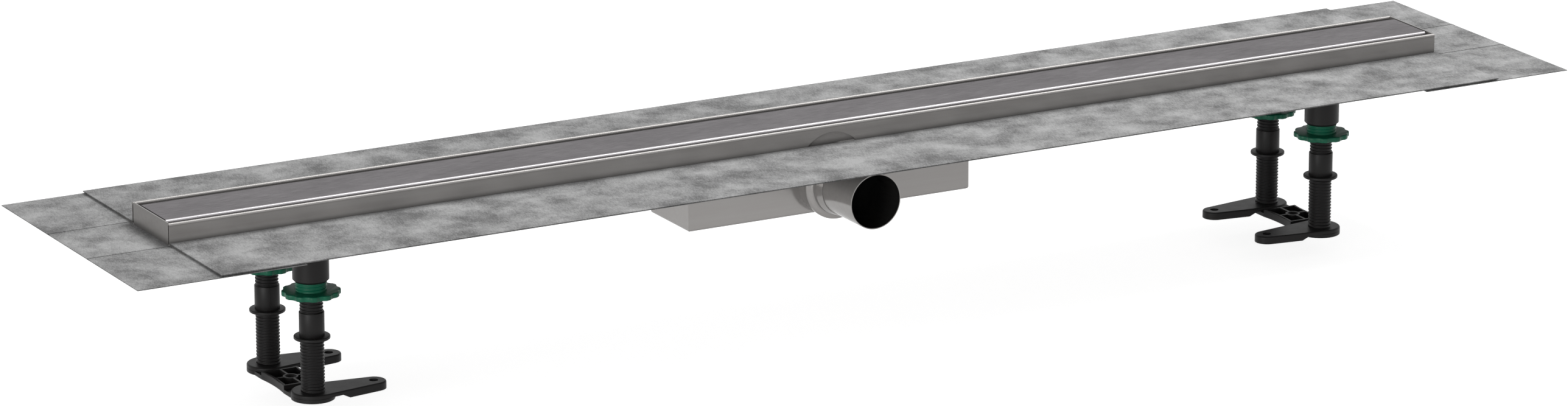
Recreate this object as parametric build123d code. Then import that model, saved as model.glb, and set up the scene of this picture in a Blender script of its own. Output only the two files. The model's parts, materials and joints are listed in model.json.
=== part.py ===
"""Linear shower drain: a folded steel channel with a flush cover, a trap box with a side outlet,
sealing membrane round it and two pairs of height-adjustable feet.

Millimetres. X runs along the channel, +Y is the side away from the outlet, +Z is up.
The origin is on the floor under the middle of the channel.
"""

from build123d import *
import math
import os

# Main sizes
CHANNEL_LENGTH = 1280.0     # end plate to end plate
CHANNEL_WIDTH = 77.2        # over the two rolled hems
MEMBRANE_TOP = 154.4        # floor to the top of the membrane
HEM_HEIGHT = 17.2           # hem above the membrane
STEEL = 1.0                 # sheet of rails, pans, end plates and trap box

# Side rails, folded from one strip each
HEM_BULGE = 0.2             # bead of the hem beyond the wall, each side
LEG_GAP = 1.3               # air between the two legs of the folded wall
BEND = 0.4                  # inside radius of the sheet's bends
FLANGE_WIDTH = 31.6         # from the wall's outer face
LIP_WIDTH = 8.1             # turned in under the floor pans
CHANNEL_DEPTH = 12.0        # membrane top to the underside of the lips
ARCH_RADIUS = 34.2          # round notch over the outlet
ARCH_HEIGHT = 10.3          # top of the notch above the membrane

# Floor pans and cover
PAN_DISH = 1.0              # fall from the pan's sides to its middle
COVER_WIDTH = 54.4
COVER_END_GAP = 1.6         # air between the cover and each end plate
COVER_SHEET = 1.5
COVER_BEND = 2.5            # outside radius of the long edges
COVER_SKIRT = 9.0           # depth of the folded long edges
COVER_DROP = 0.2            # cover below the hem tops
REST_LENGTH = 40.0
REST_SHEET = 1.5
REST_CLEARANCE = 0.3        # rest inside the cover's skirt, each side
REST_FROM_END = 120.0       # outer rests' middle to the channel's end
REST_FROM_BOX = 87.6        # inner rests' middle to the trap box's end

# Membrane
MEMBRANE_WIDTH = 287.0
MEMBRANE_SHEET = 1.2
MEMBRANE_GAP = 0.05         # membrane's inner edge to the bend at the wall's foot
END_REACH = 76.0            # end sheet beyond the channel's end
END_SHEET = 0.7
END_LAP = 78.5              # end sheet under the side strips
CREASE_WIDTH = 5.2
CREASE_DEPTH = 0.4
CREASE_OFFSET = 2.7         # crease's middle outside the channel's hems
BOND_SETBACK = 1.5          # bonding strip inside the lap's edges
SHELF_WIDTH = 30.0          # end angle's shelf, away from the channel
SHELF_HALF_LENGTH = 60.0

# Trap box and its insert
BOX_LENGTH = 284.8
BOX_DEPTH = 63.0            # membrane top to the underside of the box
BOX_RISE = 4.0              # box sides above the membrane, inside the rails
BOX_EDGE = 2.5              # outside radius of the bottom edges
PLATE_SHEET = 2.0
PLATE_DROP = 16.5           # membrane top to the underside of the insert's plate
SEAL_WIDTH = 3.0
SEAL_HEIGHT = 3.0
DIP_RADIUS = 18.0
DIP_WALL = 2.0
DIP_DEPTH = 56.0            # membrane top to the mouth of the dip tube
INSERT_LEG = 2.0            # thickness of the insert's end legs
LEG_ARCH = 20.0             # radius of the passage through an end leg
CUP_RADIUS = 29.0
CUP_WALL = 2.0
CUP_HEIGHT = 29.0
STRAINER_RADIUS = 24.0
STRAINER_SHEET = 1.0
STRAINER_CROWN = 3.0
STRAINER_HOLE = 2.2         # radius of one hole
INNER_RING = 7.5            # radius of the strainer's inner ring of holes
OUTER_RING = 14.5
INNER_RING_COUNT = 6
OUTER_RING_COUNT = 12

# Outlet
OUTLET_DROP = 34.0          # membrane top to the outlet's axis
PIPE_RADIUS = 25.0
PIPE_WALL = 1.0
PIPE_END = 117.0            # channel's middle to the pipe's mouth
NECK_RADIUS = 31.8
NECK_WALL = 1.2
NECK_LENGTH = 10.4
BEAD_RADIUS = 32.6
BEAD_LENGTH = 5.6
COLLAR_RADIUS = 27.3
COLLAR_LENGTH = 6.0
TAPER_LENGTH = 8.2
SOCKET_ROUND = 1.5          # rolled corners outside the socket
PIPE_FREE = 50.0            # full-size end, for the waste pipe's push-fit socket
PIPE_DRAWN_IN = 0.5         # less radius for the rest of the pipe, in the socket
PIPE_FIT = 0.05             # air round the pipe in the socket
SOCKET_ROOM = 1.0           # air round the socket where it passes the rail

# Legs
LEG_SETBACK = 127.3         # channel's end to the legs
LEG_Y = 45.0
BAR_WIDTH = 38.0
BAR_LENGTH = 128.0
BAR_SHEET = 2.0
BAR_FOLD = 8.0
SOCKET_RADIUS = 15.85
SOCKET_LENGTH = 35.4
SOCKET_CHAMFER = 1.8
SOCKET_TOP = 2.0            # thickness of the socket's closed end
STUD_RADIUS = 5.0
STUD_LENGTH = 8.5
STUD_FIT = 0.1
NUT_FLATS = 17.0
NUT_HEIGHT = 6.0
NUT_CHAMFER = 1.2           # off the nut's corners, top and bottom
THREAD_FIT = 0.08           # radial air of each adjusting thread
SLEEVE_RADIUS = 13.75
SLEEVE_LENGTH = 25.4
WHEEL_TOP = 97.0            # floor to the top of the hand wheel's disc
WHEEL_THICKNESS = 4.5
WHEEL_RADIUS = 25.5
WHEEL_SCALLOP = 1.6
WHEEL_LOBES = 12
WHEEL_CHAMFER = 0.6
POST_RADIUS = 10.3          # upper thread
SHANK_RADIUS = 11.0
SHANK_TOP = 77.4            # floor to the shank's shoulder
COLLAR_FACE = 56.2          # floor to the top of the post's collar
POST_COLLAR = 2.8           # its thickness
POST_COLLAR_RADIUS = 15.8
POST_COLLAR_ROUND = 0.7
FOOT_POST_RADIUS = 10.5     # lower thread
POST_LEAD = 1.0             # chamfer at the post's upper end

# Feet
FOOT_HEIGHT = 7.0
DISC_HEIGHT = 3.5
DISC_RADIUS = 19.0
POST_SEAT = 2.0             # floor to the post's lower end
ARM_REACH = 57.5            # post to the arm's screw hole
ARM_TIP = 11.0
ARM_HOLE = 4.0
ARM_FIT = 0.05              # radial air round the post
ARM_GAP = 0.1               # air between the arm's hub and the disc
ARM_STEP = 21.0             # post to the slant under the arm
ARM_SLANT = 7.0             # run of the slant, down to the floor
ARM_ROUND = 1.5
BLOCK_HALF_LENGTH = 22.8
BLOCK_HALF_WIDTH = 17.2
BLOCK_WAIST = 15.6
BRIDGE_ROUND = 0.6          # top edges of the block and the discs
RIM = 2.2
RIB = 2.0
POCKET_DEPTH = 5.0
BOSS_RADIUS = 6.7
CENTRE_HOLE = 2.6
COUNTERSINK = 5.2

# Worked-out places
HALF_CHANNEL = CHANNEL_LENGTH / 2
COVER_LENGTH = CHANNEL_LENGTH - 2 * (STEEL + COVER_END_GAP)
LEG_X = HALF_CHANNEL - LEG_SETBACK
WALL_OUT = CHANNEL_WIDTH / 2 - HEM_BULGE
OUTER_LEG_BACK = WALL_OUT - STEEL
INNER_LEG_BACK = OUTER_LEG_BACK - LEG_GAP
WALL_IN = INNER_LEG_BACK - STEEL
HEM_RADIUS = LEG_GAP / 2 + STEEL + HEM_BULGE
HEM_Y = (WALL_OUT + WALL_IN) / 2
HEM_Z = MEMBRANE_TOP + HEM_HEIGHT - HEM_RADIUS
HEM_DIP = math.degrees(math.acos((HEM_RADIUS - HEM_BULGE) / HEM_RADIUS))
CREASE_Z = HEM_Z - HEM_RADIUS * math.sin(math.radians(HEM_DIP))
FLANGE_TOP = MEMBRANE_TOP - MEMBRANE_SHEET
FLANGE_BOTTOM = FLANGE_TOP - STEEL
LIP_BOTTOM = MEMBRANE_TOP - CHANNEL_DEPTH
LIP_TOP = LIP_BOTTOM + STEEL
PAN_TOP = LIP_TOP + STEEL
HALF_BOX = BOX_LENGTH / 2
OUTER_REST = HALF_CHANNEL - REST_FROM_END
INNER_REST = HALF_BOX + REST_FROM_BOX
BOX_BOTTOM = MEMBRANE_TOP - BOX_DEPTH
BOX_FLOOR = BOX_BOTTOM + STEEL
OUTLET_Z = MEMBRANE_TOP - OUTLET_DROP
SEATED_RADIUS = PIPE_RADIUS - PIPE_DRAWN_IN
COVER_TOP = MEMBRANE_TOP + HEM_HEIGHT - COVER_DROP
PLATE_BOTTOM = MEMBRANE_TOP - PLATE_DROP
PLATE_TOP = PLATE_BOTTOM + PLATE_SHEET
MEMBRANE_INNER = WALL_OUT + BEND + MEMBRANE_GAP
END_TOP = FLANGE_BOTTOM
BAR_TOP = LIP_BOTTOM
SOCKET_FACE = BAR_TOP - BAR_SHEET
SOCKET_MOUTH = SOCKET_FACE - SOCKET_LENGTH
SLEEVE_TOP = WHEEL_TOP + SLEEVE_LENGTH
ARM_BOTTOM = DISC_HEIGHT + ARM_GAP


def arc(centre, radius, start, end):
    """Arc about a centre, from one angle to another, in degrees."""
    def at(angle):
        turn = math.radians(angle)
        return (centre[0] + radius * math.cos(turn), centre[1] + radius * math.sin(turn))
    return ThreePointArc(at(start), at((start + end) / 2), at(end))


def along_x(outline, length):
    """Solid of a closed Y-Z outline, centred on X = 0."""
    return extrude(Plane.YZ * make_face(outline), amount=length / 2, both=True)


def block(x0, x1, y0, y1, z0, z1):
    """Plain block between two corners."""
    size = (x1 - x0, y1 - y0, z1 - z0)
    return Pos((x0 + x1) / 2, (y0 + y1) / 2, (z0 + z1) / 2) * Box(*size)


def rod(x, y, z0, z1, radius):
    """Upright cylinder between two heights."""
    return Pos(x, y, (z0 + z1) / 2) * Cylinder(radius, z1 - z0)


def cross_rod(z, y0, y1, radius):
    """Cylinder along Y at X = 0."""
    return Pos(0, (y0 + y1) / 2, z) * Rot(90, 0, 0) * Cylinder(radius, y1 - y0)


def rail_outline():
    """Section of a side rail: flange, outer leg, rolled hem, inner leg and lip."""
    foot = (WALL_OUT + BEND, FLANGE_TOP + BEND)
    heel = (WALL_IN - BEND, LIP_TOP + BEND)
    flange_edge = WALL_OUT + FLANGE_WIDTH
    lip_edge = WALL_IN - LIP_WIDTH
    return [
        Line((flange_edge, FLANGE_TOP), (foot[0], FLANGE_TOP)),
        arc(foot, BEND, 270, 180),
        Line((WALL_OUT, foot[1]), (WALL_OUT, CREASE_Z)),
        arc((HEM_Y, HEM_Z), HEM_RADIUS, -HEM_DIP, 180 + HEM_DIP),
        Line((WALL_IN, CREASE_Z), (WALL_IN, heel[1])),
        arc(heel, BEND, 0, -90),
        Line((heel[0], LIP_TOP), (lip_edge, LIP_TOP)),
        Line((lip_edge, LIP_TOP), (lip_edge, LIP_BOTTOM)),
        Line((lip_edge, LIP_BOTTOM), (heel[0], LIP_BOTTOM)),
        arc(heel, BEND + STEEL, -90, 0),
        Line((INNER_LEG_BACK, heel[1]), (INNER_LEG_BACK, HEM_Z)),
        arc((HEM_Y, HEM_Z), LEG_GAP / 2, 180, 0),
        Line((OUTER_LEG_BACK, HEM_Z), (OUTER_LEG_BACK, foot[1])),
        arc(foot, BEND + STEEL, 180, 270),
        Line((foot[0], FLANGE_BOTTOM), (flange_edge, FLANGE_BOTTOM)),
        Line((flange_edge, FLANGE_BOTTOM), (flange_edge, FLANGE_TOP)),
    ]


def back_rail():
    """Rail on the +Y side, opened at its ends for the end plates and below for the trap box."""
    rail = along_x(rail_outline(), CHANNEL_LENGTH)
    for side in (-1, 1):
        ends = sorted((side * (HALF_CHANNEL - STEEL), side * (HALF_CHANNEL + STEEL)))
        rail -= block(*ends, 0, INNER_LEG_BACK, LIP_BOTTOM - STEEL, CREASE_Z)
    rail -= block(-HALF_BOX, HALF_BOX, 0, WALL_IN, LIP_BOTTOM - STEEL, LIP_TOP + BEND)
    return rail


def front_rail():
    """Rail on the outlet's side: the same strip with a round notch over the socket."""
    rail = mirror(back_rail(), about=Plane.XZ)
    flange_edge = WALL_OUT + FLANGE_WIDTH
    arch_z = MEMBRANE_TOP + ARCH_HEIGHT - ARCH_RADIUS
    rail -= cross_rod(arch_z, -flange_edge - STEEL, -HEM_Y, ARCH_RADIUS)
    rail -= cross_rod(OUTLET_Z, -HEM_Y, 0, NECK_RADIUS + SOCKET_ROOM)
    return rail


def end_plate(side):
    """Plate that closes one end between the two rails."""
    x0, x1 = sorted((side * (HALF_CHANNEL - STEEL), side * HALF_CHANNEL))
    plate = block(x0, x1, -INNER_LEG_BACK, INNER_LEG_BACK, LIP_BOTTOM, CREASE_Z)
    top_half = HEM_Y - HEM_RADIUS
    plate += block(x0, x1, -top_half, top_half, CREASE_Z, MEMBRANE_TOP + HEM_HEIGHT)
    return plate


def end_angle(side):
    """Folded angle under the end sheet, welded to the end plate."""
    leg_top = END_TOP - END_SHEET
    x0, x1 = sorted((side * HALF_CHANNEL, side * (HALF_CHANNEL + SHELF_WIDTH)))
    shelf = block(x0, x1, -SHELF_HALF_LENGTH, SHELF_HALF_LENGTH, leg_top - STEEL, leg_top)
    x0, x1 = sorted((side * HALF_CHANNEL, side * (HALF_CHANNEL + STEEL)))
    return shelf + block(x0, x1, -INNER_LEG_BACK, INNER_LEG_BACK, LIP_BOTTOM, leg_top)


def floor_pan(side):
    """Dished sheet on the rails' lips, from an end plate to the trap box."""
    lip_edge = WALL_IN - LIP_WIDTH
    outline = Polyline(
        (-WALL_IN, LIP_TOP), (-lip_edge, LIP_TOP), (0, LIP_TOP - PAN_DISH), (lip_edge, LIP_TOP),
        (WALL_IN, LIP_TOP), (WALL_IN, PAN_TOP), (lip_edge, PAN_TOP), (0, PAN_TOP - PAN_DISH),
        (-lip_edge, PAN_TOP), (-WALL_IN, PAN_TOP), close=True)
    length = HALF_CHANNEL - HALF_BOX
    pan = Pos(side * (HALF_CHANNEL - STEEL - length / 2), 0, 0) * along_x(outline, length)
    heel = block(-HALF_CHANNEL, HALF_CHANNEL, WALL_IN - BEND, WALL_IN, LIP_TOP, LIP_TOP + BEND)
    return pan - heel - mirror(heel, about=Plane.XZ)


def cover_plate():
    """Cover with both long edges folded down."""
    half = COVER_WIDTH / 2
    bend_in = COVER_BEND - COVER_SHEET
    centre = (half - COVER_BEND, COVER_TOP - COVER_BEND)
    left = (-centre[0], centre[1])
    skirt = COVER_TOP - COVER_SKIRT
    outline = [
        Line((left[0], COVER_TOP), (centre[0], COVER_TOP)),
        arc(centre, COVER_BEND, 90, 0),
        Line((half, centre[1]), (half, skirt)),
        Line((half, skirt), (half - COVER_SHEET, skirt)),
        Line((half - COVER_SHEET, skirt), (half - COVER_SHEET, centre[1])),
        arc(centre, bend_in, 0, 90),
        Line((centre[0], COVER_TOP - COVER_SHEET), (left[0], COVER_TOP - COVER_SHEET)),
        arc(left, bend_in, 90, 180),
        Line((COVER_SHEET - half, centre[1]), (COVER_SHEET - half, skirt)),
        Line((COVER_SHEET - half, skirt), (-half, skirt)),
        Line((-half, skirt), (-half, centre[1])),
        arc(left, COVER_BEND, 180, 90),
    ]
    return along_x(outline, COVER_LENGTH)


def cover_rest(x):
    """Folded bridge that stands on a floor pan and carries the cover."""
    half = COVER_WIDTH / 2 - COVER_SHEET - REST_CLEARANCE
    top = COVER_TOP - COVER_SHEET
    outer = block(-REST_LENGTH / 2, REST_LENGTH / 2, -half, half, PAN_TOP, top)
    edges = outer.edges().filter_by(Axis.X).group_by(Axis.Z)[-1]
    outer = fillet(edges, COVER_BEND - COVER_SHEET + REST_CLEARANCE)
    inner_half = half - REST_SHEET
    outer -= block(-REST_LENGTH, REST_LENGTH, -inner_half, inner_half, 0, top - REST_SHEET)
    return Pos(x, 0, 0) * outer


def side_strip(side):
    """Membrane along one side of the channel."""
    y0, y1 = sorted((side * MEMBRANE_INNER, side * MEMBRANE_WIDTH / 2))
    return block(-HALF_CHANNEL, HALF_CHANNEL, y0, y1, FLANGE_TOP, MEMBRANE_TOP)


def end_sheet(side):
    """Membrane past one end, notched round the channel, with a pressed crease beside each hem."""
    outer_x = HALF_CHANNEL + END_REACH
    inner_x = HALF_CHANNEL - END_LAP
    half = MEMBRANE_WIDTH / 2
    sheet = block(inner_x, outer_x, -half, half, END_TOP - END_SHEET, END_TOP)
    notch_x = HALF_CHANNEL + MEMBRANE_GAP
    sheet -= block(0, notch_x, -MEMBRANE_INNER, MEMBRANE_INNER, 0, MEMBRANE_TOP)
    middle = CHANNEL_WIDTH / 2 + CREASE_OFFSET
    for turn in (-1, 1):
        y0, y1 = turn * middle - CREASE_WIDTH / 2, turn * middle + CREASE_WIDTH / 2
        sheet -= block(notch_x, outer_x + 1, y0, y1, END_TOP - CREASE_DEPTH, END_TOP + 1)
    return sheet if side > 0 else mirror(sheet, about=Plane.YZ)


def lap_bond(x_side, y_side):
    """Bonding strip in the lap, outside the steel flange."""
    x_places = (HALF_CHANNEL - END_LAP + BOND_SETBACK, HALF_CHANNEL - BOND_SETBACK)
    y_places = (WALL_OUT + FLANGE_WIDTH + BOND_SETBACK, MEMBRANE_WIDTH / 2 - BOND_SETBACK)
    x0, x1 = sorted(x_side * place for place in x_places)
    y0, y1 = sorted(y_side * place for place in y_places)
    return block(x0, x1, y0, y1, END_TOP, FLANGE_TOP)


def trap_box():
    """Folded box between the rails, with low ends under the pans and the outlet's hole in front."""
    sides_top = MEMBRANE_TOP + BOX_RISE
    box = block(-HALF_BOX, HALF_BOX, -WALL_IN, WALL_IN, BOX_BOTTOM, sides_top)
    box = fillet(box.edges().group_by(Axis.Z)[0], BOX_EDGE)
    room = block(STEEL - HALF_BOX, HALF_BOX - STEEL, STEEL - WALL_IN, WALL_IN - STEEL, BOX_FLOOR, sides_top)
    room = fillet(room.edges().group_by(Axis.Z)[0], max(BOX_EDGE - STEEL, BEND))
    box -= room
    for side in (-1, 1):
        ends = sorted((side * (HALF_BOX - STEEL), side * (HALF_BOX + STEEL)))
        box -= block(*ends, -WALL_IN, WALL_IN, LIP_TOP - PAN_DISH, sides_top)
    return box - cross_rod(OUTLET_Z, -WALL_IN - STEEL, 0, PIPE_RADIUS - PIPE_WALL)


def outlet_section(y):
    """Distance from the channel's middle turned into a place along the outlet."""
    return -(WALL_IN + y)


def turned(outline):
    """Solid turned about the outlet's axis from a closed outline of radius and Y."""
    return Pos(0, 0, OUTLET_Z) * revolve(Plane.XY * make_face(outline), Axis.Y)


def outlet_socket():
    """Welded neck, rolled bead that holds the seal, collar and taper on to the pipe."""
    inner = SEATED_RADIUS + PIPE_FIT
    bead0 = outlet_section(NECK_LENGTH)
    bead1 = bead0 - BEAD_LENGTH
    collar0 = bead1 - NECK_WALL
    collar1 = collar0 - COLLAR_LENGTH
    end = collar1 - TAPER_LENGTH
    rear = outlet_section(0)
    lead = BEAD_LENGTH / 4
    outside = FilletPolyline(
        (NECK_RADIUS, rear), (NECK_RADIUS, bead0), (BEAD_RADIUS, bead0 - lead),
        (BEAD_RADIUS, bead1 + lead), (BEAD_RADIUS - lead, bead1),
        (COLLAR_RADIUS + NECK_WALL, collar0), (COLLAR_RADIUS, collar0 - NECK_WALL),
        (COLLAR_RADIUS, collar1), (inner + STEEL, end), radius=SOCKET_ROUND)
    inside = Polyline(
        (inner + STEEL, end), (inner, end), (inner, bead1),
        (BEAD_RADIUS - NECK_WALL - lead, bead1 + NECK_WALL),
        (BEAD_RADIUS - NECK_WALL, bead0 - NECK_WALL), (NECK_RADIUS - NECK_WALL, bead0),
        (NECK_RADIUS - NECK_WALL, rear - NECK_WALL), (PIPE_RADIUS - PIPE_WALL, rear - NECK_WALL),
        (PIPE_RADIUS - PIPE_WALL, rear), (NECK_RADIUS, rear))
    return turned([outside, inside])


def outlet_seal():
    """Lip ring in the socket's bead."""
    bead0 = outlet_section(NECK_LENGTH)
    bead1 = bead0 - BEAD_LENGTH
    outer = NECK_RADIUS - NECK_WALL
    lip = SEATED_RADIUS
    return turned(Polyline(
        (outer, bead0), (outer, bead0 - NECK_WALL), (BEAD_RADIUS - 2 * NECK_WALL, bead1 + 2 * NECK_WALL),
        (lip + NECK_WALL, bead1 + 2 * NECK_WALL), (lip, bead0 - NECK_WALL), (lip, bead0), close=True))


def outlet_pipe():
    """Plain pipe from the socket's back to the open mouth, drawn in where the socket holds it."""
    rear = outlet_section(NECK_WALL)
    inner = PIPE_RADIUS - PIPE_WALL
    shoulder = PIPE_FREE - PIPE_END
    return turned(Polyline(
        (inner, rear), (SEATED_RADIUS, rear), (SEATED_RADIUS, shoulder + PIPE_DRAWN_IN),
        (PIPE_RADIUS, shoulder), (PIPE_RADIUS, -PIPE_END), (inner, -PIPE_END), close=True))


def trap_insert():
    """Moulded plate with a dip tube, standing in the box on two end legs."""
    half_x = HALF_BOX - STEEL - SEAL_WIDTH
    half_y = WALL_IN - STEEL - SEAL_WIDTH
    plate = block(-half_x, half_x, -half_y, half_y, PLATE_BOTTOM, PLATE_TOP)
    for side in (-1, 1):
        x0, x1 = sorted((side * half_x, side * (half_x - INSERT_LEG)))
        leg = block(x0, x1, -half_y, half_y, BOX_FLOOR, PLATE_BOTTOM)
        passage = min(LEG_ARCH, half_y - INSERT_LEG)
        arch = Pos(0, 0, BOX_FLOOR) * Rot(0, 90, 0) * Cylinder(passage, CHANNEL_LENGTH)
        plate += leg - arch
    tube_bottom = MEMBRANE_TOP - DIP_DEPTH
    plate += rod(0, 0, tube_bottom, PLATE_TOP, DIP_RADIUS)
    return plate - rod(0, 0, tube_bottom - 1, PLATE_TOP + 1, DIP_RADIUS - DIP_WALL)


def insert_seal():
    """Rubber frame between the insert's plate and the box."""
    half_x = HALF_BOX - STEEL
    half_y = WALL_IN - STEEL
    frame = block(-half_x, half_x, -half_y, half_y, PLATE_BOTTOM, PLATE_BOTTOM + SEAL_HEIGHT)
    inner_x = half_x - SEAL_WIDTH
    inner_y = half_y - SEAL_WIDTH
    return frame - block(-inner_x, inner_x, -inner_y, inner_y, 0, MEMBRANE_TOP)


def trap_cup():
    """Cup round the dip tube that keeps the water seal."""
    cup = rod(0, 0, BOX_FLOOR, BOX_FLOOR + CUP_HEIGHT, CUP_RADIUS)
    return cup - rod(0, 0, BOX_FLOOR + CUP_WALL, BOX_FLOOR + 2 * CUP_HEIGHT, CUP_RADIUS - CUP_WALL)


def hair_strainer():
    """Domed disc with rings of holes over the dip tube's mouth."""
    low = PLATE_TOP
    crown = (STRAINER_RADIUS ** 2 + STRAINER_CROWN ** 2) / (2 * STRAINER_CROWN)
    dome = Pos(0, 0, low + STRAINER_CROWN - crown) * Sphere(crown)
    inside = Pos(0, 0, low + STRAINER_CROWN - crown) * Sphere(crown - STRAINER_SHEET)
    disc = (dome - inside) & rod(0, 0, low, low + 2 * STRAINER_CROWN, STRAINER_RADIUS)
    holes = rod(0, 0, low, low + 2 * STRAINER_CROWN, STRAINER_HOLE)
    for count, ring in ((INNER_RING_COUNT, INNER_RING), (OUTER_RING_COUNT, OUTER_RING)):
        for i in range(count):
            turn = 2 * math.pi * i / count
            centre = (ring * math.cos(turn), ring * math.sin(turn))
            holes += rod(*centre, low, low + 2 * STRAINER_CROWN, STRAINER_HOLE)
    return disc - holes


def support_bar(side):
    """Folded bar across the underside of the channel that carries one pair of legs."""
    half = BAR_WIDTH / 2
    bar = block(-half, half, -BAR_LENGTH / 2, BAR_LENGTH / 2, BAR_TOP - BAR_FOLD, BAR_TOP)
    room = half - BAR_SHEET
    bar -= block(-room, room, -BAR_LENGTH, BAR_LENGTH, 0, BAR_TOP - BAR_SHEET)
    for y in (-LEG_Y, LEG_Y):
        bar -= rod(0, y, 0, MEMBRANE_TOP, STUD_RADIUS + STUD_FIT)
    return Pos(side * LEG_X, 0, 0) * bar


def leg_socket(x, y):
    """Black socket with a stud through the bar and a threaded bore for the hand wheel's sleeve."""
    body = rod(x, y, SOCKET_MOUTH, SOCKET_FACE, SOCKET_RADIUS)
    body = chamfer(body.edges().group_by(Axis.Z)[0], SOCKET_CHAMFER)
    body += rod(x, y, SOCKET_FACE, SOCKET_FACE + STUD_LENGTH, STUD_RADIUS)
    bore = SLEEVE_RADIUS + THREAD_FIT
    return body - rod(x, y, SOCKET_MOUTH - 1, SOCKET_FACE - SOCKET_TOP, bore)


def socket_nut(x, y):
    """Hexagon nut on the socket's stud, flats along the channel."""
    hexagon = RegularPolygon(NUT_FLATS / 2, 6, major_radius=False)
    nut = Pos(x, y, BAR_TOP) * extrude(hexagon, NUT_HEIGHT)
    corners = rod(x, y, BAR_TOP, BAR_TOP + NUT_HEIGHT, NUT_FLATS / math.sqrt(3))
    nut &= chamfer(corners.edges().filter_by(GeomType.CIRCLE), NUT_CHAMFER / 2, NUT_CHAMFER)
    return nut - rod(x, y, 0, MEMBRANE_TOP, STUD_RADIUS)


def scalloped_outline():
    """Closed outline of the hand wheel: round lobes with hollows between them."""
    step = 360 / WHEEL_LOBES
    middle = WHEEL_RADIUS - WHEEL_SCALLOP / 2

    def at(radius, angle):
        turn = math.radians(angle)
        return (radius * math.cos(turn), radius * math.sin(turn))

    arcs = []
    for i in range(WHEEL_LOBES):
        a = i * step
        arcs.append(ThreePointArc(at(middle, a - step / 4), at(WHEEL_RADIUS, a), at(middle, a + step / 4)))
        low = at(WHEEL_RADIUS - WHEEL_SCALLOP, a + step / 2)
        arcs.append(ThreePointArc(at(middle, a + step / 4), low, at(middle, a + 3 * step / 4)))
    return arcs


def adjusting_wheel(x, y):
    """Hand wheel and its threaded sleeve, one moulding."""
    disc = extrude(make_face(scalloped_outline()), WHEEL_THICKNESS)
    rims = disc.edges().group_by(Axis.Z)
    disc = chamfer(rims[0] + rims[-1], WHEEL_CHAMFER)
    wheel = Pos(x, y, WHEEL_TOP - WHEEL_THICKNESS) * disc
    wheel += rod(x, y, WHEEL_TOP - WHEEL_THICKNESS, SLEEVE_TOP, SLEEVE_RADIUS)
    return wheel - rod(x, y, 0, MEMBRANE_TOP, POST_RADIUS + THREAD_FIT)


def leg_post(x, y):
    """Post with an upper thread, a plain shank, a collar and a lower thread."""
    post = rod(x, y, POST_SEAT, COLLAR_FACE, FOOT_POST_RADIUS)
    collar = rod(x, y, COLLAR_FACE - POST_COLLAR, COLLAR_FACE, POST_COLLAR_RADIUS)
    post += fillet(collar.edges().filter_by(GeomType.CIRCLE), POST_COLLAR_ROUND)
    post += rod(x, y, COLLAR_FACE, SHANK_TOP, SHANK_RADIUS)
    upper = rod(x, y, SHANK_TOP, SLEEVE_TOP, POST_RADIUS)
    return post + chamfer(upper.edges().group_by(Axis.Z)[-1], POST_LEAD)


def waisted_outline():
    """Outline of the block between two discs, drawn in at its middle."""
    w, n, h = BLOCK_HALF_WIDTH, BLOCK_WAIST, BLOCK_HALF_LENGTH
    return [
        Line((-w, h), (w, h)),
        ThreePointArc((w, h), (n, 0), (w, -h)),
        Line((w, -h), (-w, -h)),
        ThreePointArc((-w, -h), (-n, 0), (-w, h)),
    ]


def foot_bridge(side):
    """Base of one pair of legs: two discs joined by a ribbed block with a countersunk hole."""
    outline = make_face(waisted_outline())
    bridge = extrude(outline, FOOT_HEIGHT)
    bridge = fillet(bridge.edges().group_by(Axis.Z)[-1], BRIDGE_ROUND)
    neck = min(DISC_RADIUS, BLOCK_HALF_WIDTH)
    bridge += block(-neck, neck, -LEG_Y, LEG_Y, 0, DISC_HEIGHT) - waist_cut()
    for y in (-LEG_Y, LEG_Y):
        disc = rod(0, y, 0, DISC_HEIGHT, DISC_RADIUS)
        bridge += fillet(disc.edges().group_by(Axis.Z)[-1], BRIDGE_ROUND)
        bridge -= rod(0, y, POST_SEAT, FOOT_HEIGHT, FOOT_POST_RADIUS)
    pocket = extrude(offset(outline, -RIM, kind=Kind.INTERSECTION), POCKET_DEPTH)
    pocket -= block(-RIB / 2, RIB / 2, -LEG_Y, LEG_Y, 0, POCKET_DEPTH)
    pocket -= block(-DISC_RADIUS, DISC_RADIUS, -RIB / 2, RIB / 2, 0, POCKET_DEPTH)
    pocket -= rod(0, 0, 0, POCKET_DEPTH, BOSS_RADIUS)
    bridge -= Pos(0, 0, FOOT_HEIGHT - POCKET_DEPTH) * pocket
    bridge -= rod(0, 0, 0, FOOT_HEIGHT, CENTRE_HOLE)
    sink = COUNTERSINK - CENTRE_HOLE
    bridge -= Pos(0, 0, FOOT_HEIGHT - sink / 2) * Cone(CENTRE_HOLE, COUNTERSINK, sink)
    return Pos(side * LEG_X, 0, 0) * bridge


def waist_cut():
    """What lies outside the block's drawn-in sides, for the low layer under it."""
    wide = block(-DISC_RADIUS, DISC_RADIUS, -BLOCK_HALF_LENGTH, BLOCK_HALF_LENGTH, 0, DISC_HEIGHT)
    return wide - extrude(make_face(waisted_outline()), DISC_HEIGHT)


def arm_outline():
    """Teardrop round the post and the screw hole, drawn with the post at the origin."""
    lean = math.degrees(math.acos((DISC_RADIUS - ARM_TIP) / ARM_REACH))

    def at(centre, radius, angle):
        turn = math.radians(angle)
        return (centre + radius * math.cos(turn), radius * math.sin(turn))

    return [
        arc((0, 0), DISC_RADIUS, lean, 360 - lean),
        Line(at(0, DISC_RADIUS, -lean), at(ARM_REACH, ARM_TIP, -lean)),
        arc((ARM_REACH, 0), ARM_TIP, -lean, lean),
        Line(at(ARM_REACH, ARM_TIP, lean), at(0, DISC_RADIUS, lean)),
    ]


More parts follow.
